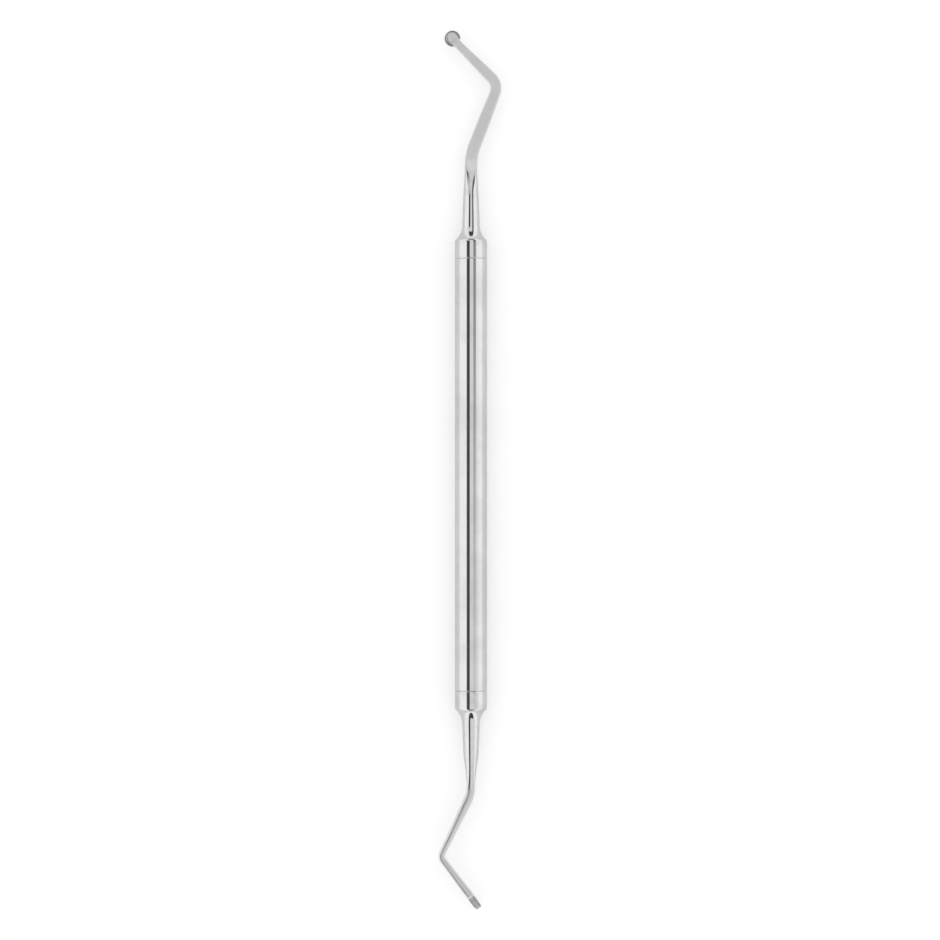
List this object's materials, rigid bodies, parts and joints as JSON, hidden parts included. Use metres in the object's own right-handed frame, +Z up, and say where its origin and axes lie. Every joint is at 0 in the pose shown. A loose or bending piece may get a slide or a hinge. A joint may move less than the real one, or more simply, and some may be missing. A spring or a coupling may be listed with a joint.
{
  "type": "gingival cord packer",
  "caption": "Slim round-handled dental hand instrument with a bent shank at each end, each tipped by a small serrated disc that tucks retraction cord under the gum.",
  "frame": {"origin": "on the table surface under the handle's axis, at the middle of the overall length", "axes": "+Y along the handle towards the end whose disc lies in the plane of the bends; +X to the side that this end's first bend leans to; +Z up, square to the plane of the bends"},
  "size_m": [0.0118, 0.165, 0.006],
  "materials": {
    "handle_steel": "polished stainless steel with faint lengthwise polishing lines",
    "shank_steel": "stainless steel, mirror-polished on collar and cone, satin on the flattened shank and disc"
  },
  "bodies": {
    "root": {"handle": "handle_steel", "flat_disc_end": "shank_steel", "cross_disc_end": "shank_steel"}
  },
  "joints": []
}
